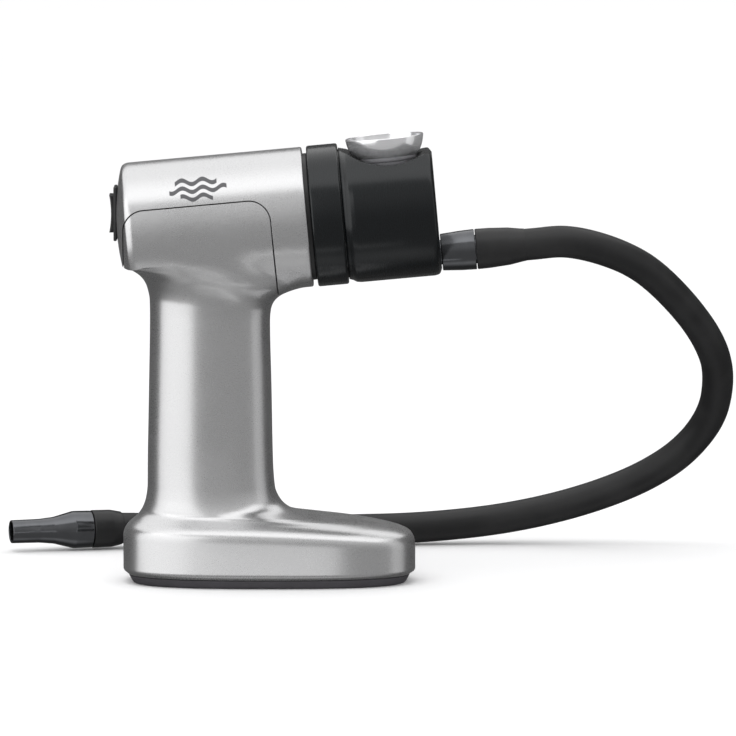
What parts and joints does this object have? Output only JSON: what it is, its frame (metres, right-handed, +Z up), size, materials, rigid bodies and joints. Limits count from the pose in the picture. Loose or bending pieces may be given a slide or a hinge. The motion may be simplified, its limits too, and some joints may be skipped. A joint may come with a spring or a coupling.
{
  "type": "handheld smoke infuser",
  "caption": "Pistol-shaped smoke infuser on an oval stand: fan barrel with a rear rocker switch, pull-off burn chamber with lift-out bowl, and a rubber hose with a nozzle.",
  "frame": {"origin": "centre of the stand's underside, on the table", "axes": "+Z up, +X towards the burn chamber and hose, +Y to the side where the hose lies"},
  "size_m": [0.3127, 0.1622, 0.1891],
  "materials": {
    "silver_paint": "satin silver metallic paint with a fine sparkle, over moulded plastic",
    "foot_plastic": "matte dark grey plastic",
    "black_anodised": "black anodised aluminium, satin",
    "black_plastic": "black plastic",
    "polished_steel": "mirror-polished stainless steel",
    "hose_rubber": "matte black rubber",
    "gunmetal": "glossy dark gunmetal plating",
    "plain_steel": "plain steel",
    "copper": "bare copper alloy",
    "bronze": "sintered bronze",
    "board_green": "green circuit board",
    "cell_wrap": "printed cell wrap",
    "silicone": "grey silicone",
    "wire_red": "red wire insulation",
    "wire_black": "black wire insulation"
  },
  "bodies": {
    "stand": {"barrel_housing": "silver_paint", "handle_shell_left": "silver_paint", "handle_shell_right": "silver_paint", "foot_plate": "foot_plastic", "switch_bezel": "black_plastic", "switch_body": "black_plastic", "fan_neck": "black_plastic", "motor_mount": "black_plastic", "motor_end_cap": "black_plastic", "battery_holder": "black_plastic", "power_transistor": "black_plastic", "foot_screw_1": "plain_steel", "foot_screw_2": "plain_steel", "foot_screw_3": "plain_steel", "foot_screw_4": "plain_steel", "shell_screw_1": "plain_steel", "shell_screw_2": "plain_steel", "motor_screw_1": "plain_steel", "motor_screw_2": "plain_steel", "motor_can": "plain_steel", "top_contact_1": "copper", "top_contact_2": "copper", "switch_terminal_1": "copper", "switch_terminal_2": "copper", "shaft_bush": "bronze", "speed_board": "board_green", "battery_1": "cell_wrap", "battery_2": "cell_wrap", "battery_3": "cell_wrap", "battery_4": "cell_wrap", "neck_seal": "silicone", "wire_battery": "wire_red", "wire_switch": "wire_red", "wire_ground": "wire_black", "wire_motor": "wire_black"},
    "battery_lid": {"battery_door": "foot_plastic", "door_contact_1": "copper", "door_contact_2": "copper", "battery_spring_1": "plain_steel", "battery_spring_2": "plain_steel", "battery_spring_3": "plain_steel", "battery_spring_4": "plain_steel"},
    "fan": {"impeller": "black_plastic", "motor_rotor": "copper", "motor_shaft": "plain_steel"},
    "rocker": {"switch_rocker": "black_plastic"},
    "chamber": {"chamber_collar": "black_anodised", "burn_chamber": "black_anodised", "seat_gasket": "silicone", "hose_nipple": "gunmetal"},
    "bowl_body": {"bowl": "polished_steel"},
    "screen": {"bowl_screen": "plain_steel"},
    "hose_body": {"hose": "hose_rubber", "hose_cuff_inlet": "hose_rubber", "hose_cuff_outlet": "hose_rubber"},
    "nozzle_body": {"nozzle": "gunmetal"}
  },
  "joints": [
    {"name": "switch_rock", "type": "hinge", "parent": "stand", "child": "rocker", "pos_m": [-0.0595, 0, 0.1554], "axis": [0, 1, 0], "range_deg": [-10, 10]},
    {"name": "fan_spin", "type": "hinge", "parent": "stand", "child": "fan", "pos_m": [0.015, 0, 0.1537], "axis": [0.9959, 0, 0.0906], "continuous": true},
    {"name": "chamber_pull", "type": "slide", "parent": "stand", "child": "chamber", "axis": [0.9959, 0, 0.0906], "range_m": [0, 0.022]},
    {"name": "bowl_lift", "type": "slide", "parent": "chamber", "child": "bowl_body", "axis": [-0.0906, 0, 0.9959], "range_m": [0, 0.03]},
    {"name": "screen_lift", "type": "slide", "parent": "bowl_body", "child": "screen", "axis": [-0.0906, 0, 0.9959], "range_m": [0, 0.014]},
    {"name": "hose_pull", "type": "slide", "parent": "chamber", "child": "hose_body", "axis": [0.9959, 0, 0.0906], "range_m": [0, 0.016]},
    {"name": "nozzle_pull", "type": "slide", "parent": "hose_body", "child": "nozzle_body", "axis": [-0.9613, -0.2756, 0], "range_m": [0, 0.012]},
    {"name": "battery_door_release", "type": "slide", "parent": "stand", "child": "battery_lid", "axis": [0, 0, -1], "range_m": [0, 0.012]}
  ]
}
